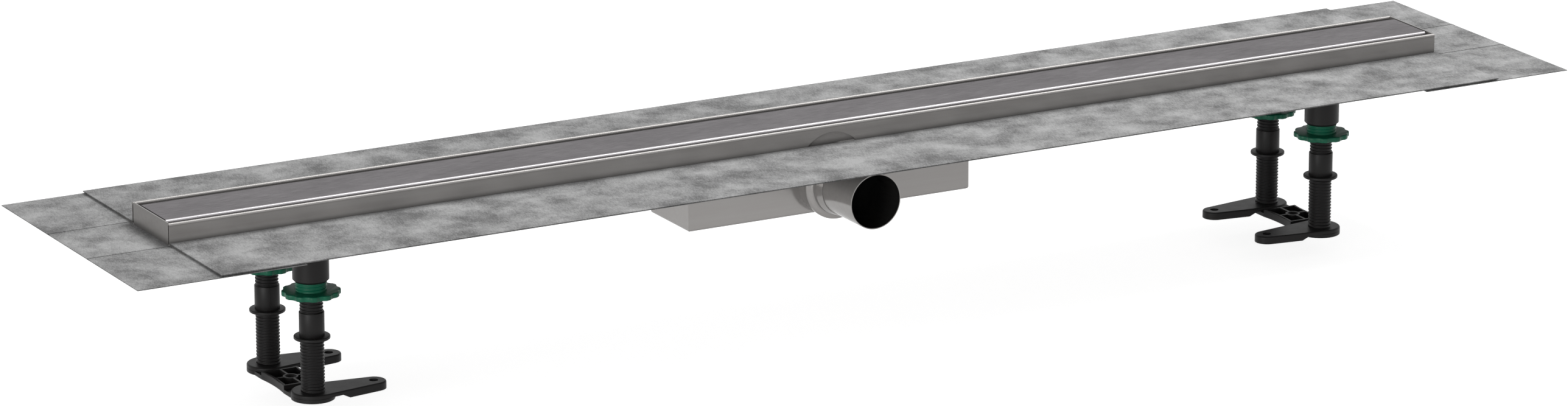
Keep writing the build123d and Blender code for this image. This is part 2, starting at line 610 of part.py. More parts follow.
def foot_arm(x_side, y_side):
    """Arm that turns about a post and takes a screw into the floor."""
    arm = extrude(make_face(arm_outline()), FOOT_HEIGHT)
    arm = fillet(arm.edges().group_by(Axis.Z)[-1], min(ARM_ROUND, (FOOT_HEIGHT - ARM_BOTTOM) / 2))
    under = Polyline((-DISC_RADIUS - 1, 0), (ARM_STEP + ARM_SLANT, 0), (ARM_STEP, ARM_BOTTOM),
                     (-DISC_RADIUS - 1, ARM_BOTTOM), close=True)
    arm -= extrude(Plane.XZ * make_face(under), amount=DISC_RADIUS + 1, both=True)
    arm -= rod(0, 0, 0, FOOT_HEIGHT, FOOT_POST_RADIUS + ARM_FIT)
    arm -= rod(ARM_REACH, 0, 0, FOOT_HEIGHT, ARM_HOLE)
    if x_side > 0:
        arm = mirror(arm, about=Plane.YZ)
    return Pos(x_side * LEG_X, y_side * LEG_Y, 0) * arm


def build():
    """Every piece by name."""
    pieces = {
        "rail_front": front_rail(),
        "rail_back": back_rail(),
        "cover_plate": cover_plate(),
        "membrane_front": side_strip(-1),
        "membrane_back": side_strip(1),
        "trap_box": trap_box(),
        "outlet_socket": outlet_socket(),
        "outlet_seal": outlet_seal(),
        "outlet_pipe": outlet_pipe(),
        "trap_insert": trap_insert(),
        "insert_seal": insert_seal(),
        "trap_cup": trap_cup(),
        "hair_strainer": hair_strainer(),
    }
    for i, x in enumerate((-OUTER_REST, -INNER_REST, INNER_REST, OUTER_REST), 1):
        pieces[f"cover_rest_{i}"] = cover_rest(x)
    for x_side, end in ((-1, "left"), (1, "right")):
        pieces[f"end_plate_{end}"] = end_plate(x_side)
        pieces[f"end_angle_{end}"] = end_angle(x_side)
        pieces[f"floor_pan_{end}"] = floor_pan(x_side)
        pieces[f"end_sheet_{end}"] = end_sheet(x_side)
        pieces[f"support_bar_{end}"] = support_bar(x_side)
        pieces[f"foot_bridge_{end}"] = foot_bridge(x_side)
        for y_side, face in ((-1, "front"), (1, "back")):
            place = (x_side * LEG_X, y_side * LEG_Y)
            pieces[f"lap_bond_{end}_{face}"] = lap_bond(x_side, y_side)
            pieces[f"socket_{end}_{face}"] = leg_socket(*place)
            pieces[f"socket_nut_{end}_{face}"] = socket_nut(*place)
            pieces[f"wheel_{end}_{face}"] = adjusting_wheel(*place)
            pieces[f"post_{end}_{face}"] = leg_post(*place)
            pieces[f"foot_arm_{end}_{face}"] = foot_arm(x_side, y_side)
    return pieces


os.makedirs("parts", exist_ok=True)
for name, solid in build().items():
    export_step(solid, f"parts/{name}.step")
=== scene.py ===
"""Linear shower drain: steel channel, trap box and outlet, fleece membrane and adjustable feet."""

import bpy
import json
import math
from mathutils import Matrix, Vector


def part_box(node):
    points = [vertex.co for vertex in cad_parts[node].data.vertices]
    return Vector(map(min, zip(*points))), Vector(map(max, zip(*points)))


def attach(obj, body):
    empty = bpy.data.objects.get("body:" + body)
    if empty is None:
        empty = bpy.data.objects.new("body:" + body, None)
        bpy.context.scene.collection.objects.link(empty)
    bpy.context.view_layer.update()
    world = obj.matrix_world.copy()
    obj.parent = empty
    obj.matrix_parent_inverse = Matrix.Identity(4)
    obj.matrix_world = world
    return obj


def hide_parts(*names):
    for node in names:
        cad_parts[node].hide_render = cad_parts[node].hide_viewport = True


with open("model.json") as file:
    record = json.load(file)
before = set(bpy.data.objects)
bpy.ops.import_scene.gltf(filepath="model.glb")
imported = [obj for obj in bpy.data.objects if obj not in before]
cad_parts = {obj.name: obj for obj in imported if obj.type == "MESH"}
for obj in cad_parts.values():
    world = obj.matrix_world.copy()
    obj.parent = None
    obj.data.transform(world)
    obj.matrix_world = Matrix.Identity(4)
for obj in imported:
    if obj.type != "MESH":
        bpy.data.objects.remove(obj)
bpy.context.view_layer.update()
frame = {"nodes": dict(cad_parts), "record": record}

MM = 0.001

# Camera, as the photograph was taken: place in mm, angles in degrees, lens in mm
CAMERA_PLACE = (-2955.4, -5290.6, 1861.8)
CAMERA_YAW = 28.964
CAMERA_PITCH = 16.303
CAMERA_LENS = 162.61

# Staging floor, in metres and millimetres: under the feet at their lowest, and as wide as the view
FLOOR_SIZE = 60
FLOOR_DROP = 20.5
FLOOR_GLOW = 0.82

# Light: the world's strength as light, and soft lamps as (name, place, size in metres, watts)
WORLD_LIGHT = 0.42
SOFTBOXES = (
    ("overhead", (1.6, 0.0, 3.2), (2.6, 2.0), 86.0),
    ("front_fill", (-2.2, -3.4, 1.3), (2.2, 1.2), 17.0),
    ("left_fill", (-3.2, -1.5, 0.35), (1.6, 1.0), 60.0),
)

# Adjusting threads: grooves between round crests, as shares of the thread's depth over one pitch
POST_PITCH = 2.9
SLEEVE_PITCH = 2.9
POST_THREAD_DEPTH = 0.9
SLEEVE_THREAD_DEPTH = 0.6
THREAD_DROPS = (1.0, 0.88, 0.5, 0.1, 0.0, 0.1, 0.5, 0.88, 1.0)
TURN_STEPS = 48
SHELL_OVERLAP = 0.4

# Posts, heights above the sole of the foot
POST_SEAT = 2.0
COLLAR_BOTTOM = 53.4
COLLAR_TOP = 56.2
SHANK_TOP = 77.4
POST_TOP = 122.4
LOWER_RADIUS = 10.5
UPPER_RADIUS = 10.3
SHANK_RADIUS = 11.0
COLLAR_RADIUS = 15.8
FLASH_WIDTH = 0.5
FLASH_HEIGHT = 0.12

# Hand wheels: rim radius at each share of the way from a lobe's crest to its hollow
WHEEL_LOBES = 12
WHEEL_RADIUS = 25.5
WHEEL_DISC = 4.5
LOBE_STEPS = 16
LOBE_SHAPE = ((0.25, 0.999), (0.375, 0.993), (0.5, 0.976), (0.625, 0.956), (0.75, 0.945), (0.875, 0.941), (1.0, 0.940))
WHEEL_EDGE = 0.8
SLEEVE_RADIUS = 13.75
WHEEL_BORE = 10.38

# How far each copy is turned on its leg, in degrees, as on the photographed one
POST_TURNS = {"front": -14, "back": 76}
WHEEL_TURNS = {"left": 11, "right": 4}

# Edges steeper than these, in degrees, stay sharp in the shading
SHARP_EDGE = 40
FLEECE_SHARP_EDGE = 32

# Fleece sheets
FLEECE_EDGE = 0.25
GRID_STEP = 6.0
CREASE_DEPTH = 0.4
CREASE_WIDTH = 5.2
CLEARANCE = 0.05

# Where shade is painted on steel and fleece: the corner at the channel's foot, its folds, and the outlet's bore
FOOT_TOP = 152.2
CORNER_HEIGHT = 7.0
FOLD_GAP = (36.05, 37.45)
FOLD_RISE = (153.0, 169.2)
FOLD_RUN = (45.0, 641.0)
WALL_FACE = 38.4
END_FACE = 640.0
CORNER_REACH = 14.0
OUTLET_HEIGHT = 120.4
BORE_RADIUS = 24.3
BORE_RUN = (-118.0, -34.5)

# Share of its light that each keeps where shade is painted: steel and fleece at the foot, the fleece's cut edge, and
# folds and bore
FOOT_SHADE = 0.5
FLEECE_FOOT_SHADE = 0.45
CUT_EDGE_SHADE = 0.4
HIDDEN_SHADE = 0.06

# Sizes of the patterns, in mm, and the angles of the fleece's fibres, in degrees
STEEL_CLOUDS = (70, 30, 30)
PLASTIC_FLOW = 9
PLASTIC_GRAIN = 0.5
RUBBER_BLOOM = 6
RUBBER_SKIN = 0.7
FLEECE_CLOUDS = 38
FLEECE_WAVES = 9
FLEECE_DRIFT = (2.4, 1.2, 0)
FIBRE_SIZE = (0.8, 4.5, 4.5)
FIBRE_TURN = -13
WISP_SIZE = (1.4, 7, 7)
WISP_TURN = 8

# How much the fibres and wisps count beside the clouds, and where their sum is darkest and palest
FIBRE_SHARE = 0.43
WISP_SHARE = 0.3
FLEECE_RANGE = (0.68, 1.05)

ENDS = ("left", "right")
FACES = ("front", "back")


def srgb(code):
    """Linear colour of an sRGB hex value."""
    values = [int(code[i:i + 2], 16) / 255 for i in (1, 3, 5)]
    return [v / 12.92 if v <= 0.04045 else ((v + 0.055) / 1.055) ** 2.4 for v in values] + [1.0]


def per_mm(x, y, z):
    """Mapping scale for features of these sizes in millimetres."""
    return (1 / (x * MM), 1 / (y * MM), 1 / (z * MM))


def in_metres(values):
    """Lengths in millimetres, as metres."""
    return [value * MM for value in values]


def add(tree, kind, inputs, **settings):
    """Adds a node with its settings, and links or sets its inputs."""
    node = tree.nodes.new(kind)
    for name, value in settings.items():
        setattr(node, name, value)
    for name, value in inputs.items():
        if isinstance(value, bpy.types.NodeSocket):
            tree.links.new(value, node.inputs[name])
        else:
            node.inputs[name].default_value = value
    return node


def new_material(name, **constants):
    """Material with constants on its shader, its tree, its shader and the piece's own coordinates."""
    material = bpy.data.materials.new(name)
    material.use_nodes = True
    tree = material.node_tree
    shader = tree.nodes["Principled BSDF"]
    for socket, value in constants.items():
        shader.inputs[socket.replace("_", " ")].default_value = value
    place = add(tree, "ShaderNodeTexCoord", {}).outputs["Object"]
    return material, tree, shader, place


def painted_shade(tree, place):
    """Painted shade: share of light that the steel keeps, less at the channel's foot, in its folds and in the outlet's
    bore.
    """
    parts = add(tree, "ShaderNodeSeparateXYZ", {"Vector": place}).outputs
    corner = add(tree, "ShaderNodeMapRange", {0: parts[2], 1: FOOT_TOP * MM, 2: (FOOT_TOP + CORNER_HEIGHT) * MM,
                                              3: FOOT_SHADE}, interpolation_type="SMOOTHSTEP").outputs[0]
    below = add(tree, "ShaderNodeMath", {0: parts[2], 1: (FOOT_TOP - CLEARANCE) * MM}, operation="LESS_THAN")
    kept = add(tree, "ShaderNodeMath", {0: corner, 1: below.outputs[0]}, operation="MAXIMUM").outputs[0]
    quarter = add(tree, "ShaderNodeVectorMath", {0: place}, operation="ABSOLUTE").outputs[0]
    sides = add(tree, "ShaderNodeSeparateXYZ", {"Vector": quarter}).outputs
    across = add(tree, "ShaderNodeVectorMath", {0: place, 1: (1, 0, 1)}, operation="MULTIPLY").outputs[0]
    radius = add(tree, "ShaderNodeVectorMath", {0: across, 1: (0, 0, OUTLET_HEIGHT * MM)},
                 operation="DISTANCE").outputs["Value"]
    fold = ((sides[0], FOLD_RUN), (sides[1], FOLD_GAP), (parts[2], FOLD_RISE))
    bore = ((radius, (0, BORE_RADIUS)), (parts[1], BORE_RUN))
    for limits in (fold, bore):
        inside = 1.0
        for value, (low, high) in limits:
            near = add(tree, "ShaderNodeMath", {0: value, 1: (low + high) / 2 * MM, 2: (high - low) / 2 * MM},
                       operation="COMPARE").outputs[0]
            inside = add(tree, "ShaderNodeMath", {0: near, 1: inside}, operation="MULTIPLY").outputs[0]
        dark = add(tree, "ShaderNodeMapRange", {0: inside, 3: 1.0, 4: HIDDEN_SHADE}).outputs[0]
        kept = add(tree, "ShaderNodeMath", {0: kept, 1: dark}, operation="MULTIPLY").outputs[0]
    return kept


def stainless_sheet(name, dark, light, metallic, roughness, line, line_depth, edge_tint):
    """Stainless sheet: metal with rolling or brushing lines along the channel and a cloudy sheen.

    The lines break the reflections into long streaks; the clouds keep large faces from looking flat.
    Real lines are about 0.1 mm apart, and are drawn four times as coarse or more so that they show.
    """
    material, tree, shader, place = new_material(name, Metallic=metallic, Specular_Tint=edge_tint)
    stretched = add(tree, "ShaderNodeMapping", {"Vector": place, "Scale": per_mm(*line)})
    lines = add(tree, "ShaderNodeTexNoise", {"Vector": stretched.outputs[0], "Scale": 1.0, "Detail": 3.0,
                                             "Roughness": 0.6}).outputs[0]
    wide = add(tree, "ShaderNodeMapping", {"Vector": place, "Scale": per_mm(*STEEL_CLOUDS)})
    clouds = add(tree, "ShaderNodeTexNoise", {"Vector": wide.outputs[0], "Scale": 1.0, "Detail": 3.0}).outputs[0]
    tone = add(tree, "ShaderNodeMath", {0: clouds, 1: 0.35, 2: lines}, operation="MULTIPLY_ADD").outputs[0]
    shade = add(tree, "ShaderNodeMapRange", {0: tone, 1: 0.42, 2: 0.92}).outputs[0]
    colour = add(tree, "ShaderNodeMix", {0: shade, 6: srgb(dark), 7: srgb(light)}, data_type="RGBA").outputs[2]
    # Shade painted into the colour: darker at the channel's foot, in the hem's folds and in the outlet's bore
    kept = painted_shade(tree, place)
    seen = add(tree, "ShaderNodeHueSaturation", {"Color": colour, "Value": kept}).outputs[0]
    tree.links.new(seen, shader.inputs["Base Color"])
    gloss = add(tree, "ShaderNodeMapRange", {0: lines, 1: 0.3, 2: 0.7, 3: roughness - 0.05, 4: roughness + 0.05})
    tree.links.new(gloss.outputs[0], shader.inputs["Roughness"])
    relief = add(tree, "ShaderNodeBump", {"Height": lines, "Distance": line_depth * MM, "Strength": 1.0})
    tree.links.new(relief.outputs[0], shader.inputs["Normal"])
    return material


def moulded_plastic(name, dark, light, roughness, specular):
    """Injection-moulded plastic: fine spark grain, and flow that varies colour and gloss a little.

    The grain of about 0.1 mm is drawn at 0.5 mm so that it shows.
    """
    material, tree, shader, place = new_material(name, Specular_IOR_Level=specular)
    flow = add(tree, "ShaderNodeTexNoise", {"Vector": place, "Scale": 1 / (PLASTIC_FLOW * MM),
                                            "Detail": 3.0}).outputs[0]
    grain = add(tree, "ShaderNodeTexNoise", {"Vector": place, "Scale": 1 / (PLASTIC_GRAIN * MM),
                                             "Detail": 2.0}).outputs[0]
    colour = add(tree, "ShaderNodeMix", {0: flow, 6: srgb(dark), 7: srgb(light)}, data_type="RGBA").outputs[2]
    tree.links.new(colour, shader.inputs["Base Color"])
    gloss = add(tree, "ShaderNodeMapRange", {0: flow, 1: 0.3, 2: 0.7, 3: roughness - 0.02, 4: roughness + 0.02})
    tree.links.new(gloss.outputs[0], shader.inputs["Roughness"])
    relief = add(tree, "ShaderNodeBump", {"Height": grain, "Distance": 0.02 * MM, "Strength": 0.6})
    tree.links.new(relief.outputs[0], shader.inputs["Normal"])
    return material


def needled_fleece():
    """Needle-punched polypropylene fleece: cloudy greys from uneven batting, with short pale fibres.

    The fibres lie mostly across the channel and catch the light, so the sheet looks dry and matt.
    Single fibres of 0.03 mm are too fine to show, so they are drawn as tufts 0.8 and 1.4 mm wide.
    """
    material, tree, shader, place = new_material("needled_polypropylene_fleece", Roughness=0.95,
                                                 Specular_IOR_Level=0.1, Sheen_Weight=0.08)
    clouds = add(tree, "ShaderNodeTexNoise", {"Vector": place, "Scale": 1 / (FLEECE_CLOUDS * MM), "Detail": 5.0,
                                              "Roughness": 0.6}).outputs[0]
    waves = add(tree, "ShaderNodeTexNoise", {"Vector": place, "Scale": 1 / (FLEECE_WAVES * MM),
                                             "Detail": 2.0}).outputs[1]
    moved = add(tree, "ShaderNodeVectorMath", {0: waves, 1: in_metres(FLEECE_DRIFT), 2: place},
                operation="MULTIPLY_ADD").outputs[0]
    laid = add(tree, "ShaderNodeMapping", {"Vector": moved, "Rotation": (0, 0, math.radians(FIBRE_TURN)),
                                           "Scale": in_metres(FIBRE_SIZE)}, vector_type="TEXTURE")
    fibres = add(tree, "ShaderNodeTexNoise", {"Vector": laid.outputs[0], "Scale": 1.0, "Detail": 3.0,
                                              "Roughness": 0.55}).outputs[0]
    crossed = add(tree, "ShaderNodeMapping", {"Vector": moved, "Rotation": (0, 0, math.radians(WISP_TURN)),
                                              "Scale": in_metres(WISP_SIZE)}, vector_type="TEXTURE")
    wisps = add(tree, "ShaderNodeTexNoise", {"Vector": crossed.outputs[0], "Scale": 1.0, "Detail": 3.0,
                                             "Roughness": 0.6}).outputs[0]
    tone = add(tree, "ShaderNodeMath", {0: fibres, 1: FIBRE_SHARE, 2: clouds}, operation="MULTIPLY_ADD").outputs[0]
    tone = add(tree, "ShaderNodeMath", {0: wisps, 1: WISP_SHARE, 2: tone}, operation="MULTIPLY_ADD").outputs[0]
    shade = add(tree, "ShaderNodeMapRange", {0: tone, 1: FLEECE_RANGE[0], 2: FLEECE_RANGE[1]}).outputs[0]
    colour = add(tree, "ShaderNodeMix", {0: shade, 6: srgb("#6C6C6C"), 7: srgb("#B2B2B2")}, data_type="RGBA")
    # Painted shade: the fleece is darkened towards the channel's walls and ends, within CORNER_REACH of them
    quarter = add(tree, "ShaderNodeVectorMath", {0: place}, operation="ABSOLUTE").outputs[0]
    beyond = add(tree, "ShaderNodeVectorMath", {0: quarter, 1: (END_FACE * MM, WALL_FACE * MM, 1)},
                 operation="SUBTRACT").outputs[0]
    outside = add(tree, "ShaderNodeVectorMath", {0: beyond, 1: (0, 0, 0)}, operation="MAXIMUM").outputs[0]
    away = add(tree, "ShaderNodeVectorMath", {0: outside}, operation="LENGTH").outputs["Value"]
    painted_foot_shade = add(tree, "ShaderNodeMapRange", {0: away, 1: 0.0, 2: CORNER_REACH * MM, 3: FLEECE_FOOT_SHADE},
                 interpolation_type="SMOOTHSTEP").outputs[0]
    # Painted shade: faces that turn away from upward, the sheet's cut edges, are darkened
    facing = add(tree, "ShaderNodeTexCoord", {}).outputs["Normal"]
    upward = add(tree, "ShaderNodeSeparateXYZ", {"Vector": facing}).outputs[2]
    painted_edge_shade = add(tree, "ShaderNodeMapRange", {0: upward, 1: 0.3, 2: 0.8, 3: CUT_EDGE_SHADE}).outputs[0]
    kept = add(tree, "ShaderNodeMath", {0: painted_foot_shade, 1: painted_edge_shade}, operation="MULTIPLY").outputs[0]
    seen = add(tree, "ShaderNodeHueSaturation", {"Color": colour.outputs[2], "Value": kept}).outputs[0]
    tree.links.new(seen, shader.inputs["Base Color"])
    relief = add(tree, "ShaderNodeBump", {"Height": fibres, "Distance": 0.15 * MM, "Strength": 0.6})
    tree.links.new(relief.outputs[0], shader.inputs["Normal"])
    return material


def rubber(name, dark, light):
    """Moulded or calendered rubber: matt and nearly black, with a dusty bloom in patches."""
    material, tree, shader, place = new_material(name, Roughness=0.75, Specular_IOR_Level=0.3)
    bloom = add(tree, "ShaderNodeTexNoise", {"Vector": place, "Scale": 1 / (RUBBER_BLOOM * MM),
                                             "Detail": 4.0}).outputs[0]
    colour = add(tree, "ShaderNodeMix", {0: bloom, 6: srgb(dark), 7: srgb(light)}, data_type="RGBA").outputs[2]
    tree.links.new(colour, shader.inputs["Base Color"])
    skin = add(tree, "ShaderNodeTexNoise", {"Vector": place, "Scale": 1 / (RUBBER_SKIN * MM),
                                            "Detail": 2.0}).outputs[0]
    relief = add(tree, "ShaderNodeBump", {"Height": skin, "Distance": 0.03 * MM, "Strength": 0.5})
    tree.links.new(relief.outputs[0], shader.inputs["Normal"])
    return material


FINISHES = {
    # Bright-rolled sheet, folded and welded: soft, nearly grey reflections
    "satin_steel": stainless_sheet("satin_rolled_stainless_steel", "#918E8C", "#969492", 0.42, 0.19, (160, 4, 4),
                                   0.001, srgb("#E0E0E0")),
    # Belt-ground sheet: dark and light grinding lines end to end
    "brushed_cover": stainless_sheet("belt_ground_stainless_steel", "#848183", "#ABA8AA", 1.0, 0.3, (16, 0.45, 0.45),
                                     0.006, srgb("#A0A0A0")),
    # Mill finish of the unseen brackets and pans
    "plain_steel": stainless_sheet("mill_finish_stainless_steel", "#7C7C7B", "#979796", 1.0, 0.45, (30, 2, 2), 0.004,
                                   srgb("#D8D8D8")),
    # Zinc-plated nuts: paler, with a faint warm cast
    "zinc_steel": stainless_sheet("zinc_plated_steel", "#8A8A84", "#A6A69E", 1.0, 0.4, (2, 2, 2), 0.003,
                                  srgb("#E0E0E0")),
    "membrane_fleece": needled_fleece(),
    # Calendered strip in the laps, and moulded lip seals: dull and nearly black
    "bond_strip": rubber("calendered_butyl_rubber", "#171717", "#232323"),
    "seal_rubber": rubber("moulded_nitrile_rubber", "#121212", "#1C1C1C"),
    # Feet and sockets: black with a faint satin sheen
    "black_plastic": moulded_plastic("moulded_black_polypropylene", "#121111", "#1A1919", 0.45, 0.16),
    # Hand wheels: deep green, a little glossier than the black
    "green_plastic": moulded_plastic("moulded_green_polypropylene", "#074632", "#0A5C44", 0.4, 0.2),
    # Insert and cup in the trap box: smooth pale grey
    "insert_plastic": moulded_plastic("moulded_grey_abs", "#8A8C8E", "#96989A", 0.4, 0.5),
}


def paint(piece, slot_name):
    """Gives a piece one finish."""
    piece.data.materials.clear()
    piece.data.materials.append(FINISHES[slot_name])


def make_active(piece):
    """Selects one object alone."""
    bpy.ops.object.select_all(action="DESELECT")
    piece.select_set(True)
    bpy.context.view_layer.objects.active = piece


def apply_place():
    """Puts the active object's place in its mesh."""
    bpy.ops.object.transform_apply(location=True, rotation=True, scale=True)


def apply_modifier(piece, kind, **settings):
    """Adds a modifier with its settings and applies it."""
    make_active(piece)
    modifier = piece.modifiers.new(kind.lower(), kind)
    for key, value in settings.items():
        setattr(modifier, key, value)
    bpy.ops.object.modifier_apply(modifier=modifier.name)


def select_in_mesh(piece, elements, test):
    """Selects the vertices or faces of the active mesh that pass a test, and enters edit mode."""
    bpy.ops.object.mode_set(mode="EDIT")
    bpy.ops.mesh.select_mode(type="FACE" if elements == "polygons" else "VERT")
    bpy.ops.mesh.select_all(action="DESELECT")
    bpy.ops.object.mode_set(mode="OBJECT")
    for element in getattr(piece.data, elements):
        element.select = test(element)
    bpy.ops.object.mode_set(mode="EDIT")


def cylinder(radius, bottom, top, sides=96):
    """Upright cylinder on the axis, between two heights."""
    bpy.ops.object.select_all(action="DESELECT")
    bpy.ops.mesh.primitive_cylinder_add(vertices=sides, radius=radius * MM, depth=(top - bottom) * MM,
                                        location=(0, 0, (top + bottom) / 2 * MM))
    apply_place()
    return bpy.context.object


def thread_profile(radius, depth, pitch, start):
    """One pitch of a thread's outline: an upright edge, divided and pressed in at its grooves."""
    bpy.ops.object.select_all(action="DESELECT")
    bpy.ops.mesh.primitive_plane_add(size=pitch * MM, location=(radius * MM, 0, (start + pitch / 2) * MM),
                                     rotation=(0, math.pi / 2, 0))
    apply_place()
    profile = bpy.context.object
    select_in_mesh(profile, "vertices", lambda vertex: vertex.co.y < 0)
    bpy.ops.mesh.delete(type="VERT")
    bpy.ops.mesh.select_all(action="SELECT")
    bpy.ops.mesh.subdivide(number_cuts=len(THREAD_DROPS) - 2)
    bpy.ops.transform.translate(value=(0, -pitch / 2 * MM, 0))
    for i, drop in enumerate(THREAD_DROPS):
        height = (start + pitch * i / (len(THREAD_DROPS) - 1)) * MM
        bpy.ops.object.mode_set(mode="OBJECT")
        select_in_mesh(profile, "vertices", lambda vertex: abs(vertex.co.z - height) < pitch * MM / 40)
        bpy.ops.transform.translate(value=(-drop * depth * MM, 0, 0))
    bpy.ops.object.mode_set(mode="OBJECT")
    return profile


def threaded_rod(radius, depth, pitch, bottom, top, left_hand):
    """Rod with a round-crested thread: one pitch of outline, screwed upwards and cut off flat."""
    rod = thread_profile(radius, depth, pitch, bottom - pitch)
    apply_modifier(rod, "SCREW", axis="Z", screw_offset=pitch * MM, iterations=math.ceil((top - bottom) / pitch) + 2,
                   steps=TURN_STEPS, render_steps=TURN_STEPS, use_merge_vertices=True, merge_threshold=0.00001)
    if left_hand:
        rod.scale.y = -1
        apply_place()
    bpy.ops.object.mode_set(mode="EDIT")
    for height, is_top in ((bottom, False), (top, True)):
        bpy.ops.mesh.select_all(action="SELECT")
        bpy.ops.mesh.bisect(plane_co=(0, 0, height * MM), plane_no=(0, 0, 1), use_fill=True,
                            clear_inner=not is_top, clear_outer=is_top)
    bpy.ops.mesh.select_all(action="SELECT")
    bpy.ops.mesh.remove_doubles(threshold=0.000005)
    bpy.ops.mesh.normals_make_consistent(inside=False)
    bpy.ops.object.mode_set(mode="OBJECT")
    return rod


def parting_flash(radius, bottom, top):
    """Thin fin that the mould's halves leave down both sides of a round."""
    bpy.ops.object.select_all(action="DESELECT")
    size = (2 * (radius + FLASH_HEIGHT) * MM, FLASH_WIDTH * MM, (top - bottom) * MM)
    bpy.ops.mesh.primitive_cube_add(size=1, location=(0, 0, (bottom + top) / 2 * MM), scale=size)
    apply_place()
    fin = bpy.context.object
    apply_modifier(fin, "BEVEL", width=0.1 * MM, segments=1, limit_method="ANGLE")
    return fin


def threaded_post():
    """Post: lower thread, collar, shank and upper thread, with the mould's parting flash."""
    collar = cylinder(COLLAR_RADIUS, COLLAR_BOTTOM, COLLAR_TOP)
    apply_modifier(collar, "BEVEL", width=0.7 * MM, segments=3, limit_method="ANGLE")
    shank = cylinder(SHANK_RADIUS, COLLAR_TOP - SHELL_OVERLAP, SHANK_TOP)
    apply_modifier(shank, "BEVEL", width=0.35 * MM, segments=2, limit_method="ANGLE")
    shells = [
        threaded_rod(LOWER_RADIUS, POST_THREAD_DEPTH, POST_PITCH, POST_SEAT, COLLAR_BOTTOM + SHELL_OVERLAP, True),
        threaded_rod(UPPER_RADIUS, POST_THREAD_DEPTH, POST_PITCH, SHANK_TOP - SHELL_OVERLAP, POST_TOP, True),
        collar,
        shank,
        parting_flash(SHANK_RADIUS, COLLAR_TOP - SHELL_OVERLAP, SHANK_TOP - SHELL_OVERLAP),
        parting_flash(COLLAR_RADIUS, COLLAR_BOTTOM + SHELL_OVERLAP, COLLAR_TOP - SHELL_OVERLAP),
    ]
    bpy.ops.object.select_all(action="DESELECT")
    for shell in shells:
        shell.select_set(True)
    bpy.context.view_layer.objects.active = shells[0]
    bpy.ops.object.join()
    bpy.ops.object.shade_smooth_by_angle(angle=math.radians(SHARP_EDGE))
    return bpy.context.object


def lobed_disc(bottom, top):
    """Hand wheel's disc, its rim pressed in between the lobes and rounded at both edges."""
    disc = cylinder(WHEEL_RADIUS, bottom, top, WHEEL_LOBES * LOBE_STEPS)
    step = 2 * math.pi / WHEEL_LOBES
    for share, scale in LOBE_SHAPE:
        def in_place(vertex):
            turn = math.atan2(vertex.co.y, vertex.co.x) / step
            return abs(2 * abs(turn - round(turn)) - share) < 0.5 / LOBE_STEPS
        select_in_mesh(disc, "vertices", in_place)
        bpy.ops.transform.resize(value=(scale, scale, 1), center_override=(0, 0, (bottom + top) / 2 * MM))
        bpy.ops.object.mode_set(mode="OBJECT")
    apply_modifier(disc, "BEVEL", width=WHEEL_EDGE * MM, segments=3, limit_method="ANGLE", angle_limit=1.0)
    return disc


def threaded_wheel(bottom, top):
    """Hand wheel: lobed disc and threaded sleeve in one, bored for the post."""
    disc = lobed_disc(bottom, bottom + WHEEL_DISC)
    sleeve = threaded_rod(SLEEVE_RADIUS, SLEEVE_THREAD_DEPTH, SLEEVE_PITCH, bottom + WHEEL_DISC - SHELL_OVERLAP,
                          top, False)
    bore = cylinder(WHEEL_BORE, bottom - 5, top + 5)
    apply_modifier(disc, "BOOLEAN", operation="UNION", object=sleeve, solver="EXACT")
    apply_modifier(disc, "BOOLEAN", operation="DIFFERENCE", object=bore, solver="EXACT")
    bpy.data.objects.remove(sleeve)
    bpy.data.objects.remove(bore)
    bpy.ops.object.shade_smooth_by_angle(angle=math.radians(SHARP_EDGE))
    return disc


def set_copy(pattern, name, node, turn, body, slot_name):
    """Copy of a pattern with its own mesh, turned and set in a node's place."""
    piece = pattern.copy()
    piece.data = pattern.data.copy()
    piece.name = name
    bpy.context.scene.collection.objects.link(piece)
    low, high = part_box(node)
    make_active(piece)
    piece.rotation_euler = (0, 0, math.radians(turn))
    piece.location = ((low.x + high.x) / 2, (low.y + high.y) / 2, 0)
    apply_place()
    paint(piece, slot_name)
    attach(piece, body)
    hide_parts(node)


def legs():
    """Posts and hand wheels of the four legs."""
    low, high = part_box("wheel_left_front")
    wheel = threaded_wheel(low.z / MM, high.z / MM)
    post = threaded_post()
    for end in ENDS:
        for face in FACES:
            leg = f"{end}_{face}"
            set_copy(post, f"threaded_post_{leg}", f"post_{leg}", POST_TURNS[face], f"foot_{end}", "black_plastic")
            set_copy(wheel, f"threaded_wheel_{leg}", f"wheel_{leg}", WHEEL_TURNS[end], f"wheel_body_{leg}",
                     "green_plastic")
    bpy.data.objects.remove(wheel)
    bpy.data.objects.remove(post)


def fleece_grid(low, high, cuts):
    """Flat sheet on a box's top, divided evenly and along the cuts."""
    bpy.ops.object.select_all(action="DESELECT")
    size = high - low
    middle = (low + high) / 2
    bpy.ops.mesh.primitive_grid_add(x_subdivisions=round(size.x / MM / GRID_STEP),
                                    y_subdivisions=round(size.y / MM / GRID_STEP), size=1,
                                    location=(middle.x, middle.y, high.z))
    sheet = bpy.context.object
    sheet.scale = (size.x, size.y, 1)
    apply_place()
    bpy.ops.object.mode_set(mode="EDIT")
    for point, normal in cuts:
        bpy.ops.mesh.select_all(action="SELECT")
        bpy.ops.mesh.bisect(plane_co=point, plane_no=normal)
    bpy.ops.object.mode_set(mode="OBJECT")
    return sheet


def finish_fleece(sheet, name, node, flat, rests_on, **area):
    """Names, paints and attaches a laid sheet of fleece to the channel, and hides its CAD node."""
    make_active(sheet)
    bpy.ops.object.shade_smooth_by_angle(angle=math.radians(FLEECE_SHARP_EDGE))
    sheet.name = name
    paint(sheet, "membrane_fleece")
    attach(sheet, "channel")
    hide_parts(node)


